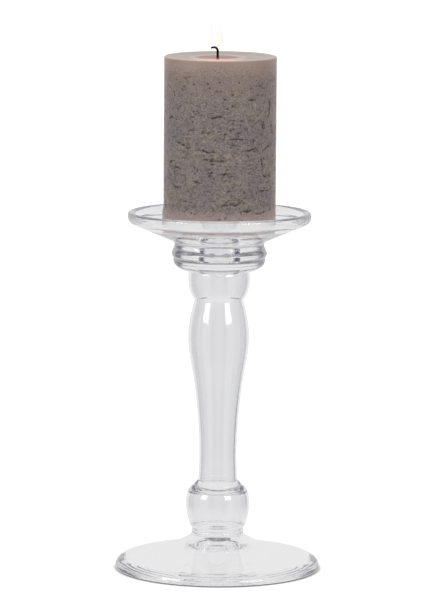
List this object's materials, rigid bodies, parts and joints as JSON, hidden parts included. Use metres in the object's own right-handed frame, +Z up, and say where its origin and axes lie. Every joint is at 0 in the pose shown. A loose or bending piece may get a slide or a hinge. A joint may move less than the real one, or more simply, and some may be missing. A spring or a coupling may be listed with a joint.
{
  "type": "glass candlestick",
  "caption": "Hand-made clear glass candlestick with a round foot, knopped baluster stem and shallow dish, holding a rustic pillar candle that lifts off.",
  "frame": {"origin": "on the table, under the middle of the foot", "axes": "+Z up along the stem's axis; the glass is round, so +X and +Y are free, and the wick's burnt end curls towards -X"},
  "size_m": [0.1284, 0.1284, 0.3285],
  "materials": {
    "clear_glass": "clear, hand-blown, polished",
    "rustic_wax": "matte coloured paraffin wax with fine cracks and specks",
    "melted_wax": "glossy melted wax",
    "wick_cotton": "burnt plaited cotton",
    "tab_metal": "bright tinned sheet"
  },
  "bodies": {
    "candlestick": {"foot": "clear_glass", "foot_merese": "clear_glass", "lower_knop": "clear_glass", "stem_bead": "clear_glass", "baluster": "clear_glass", "upper_knop": "clear_glass", "cup_merese": "clear_glass", "collar": "clear_glass", "dish": "clear_glass"},
    "candle": {"wax_body": "rustic_wax", "melt_pool": "melted_wax", "wick": "wick_cotton", "wick_tab": "tab_metal"}
  },
  "joints": [
    {"name": "candle_lift", "type": "slide", "parent": "candlestick", "child": "candle", "axis": [0, 0, 1], "range_m": [0, 0.06]}
  ]
}
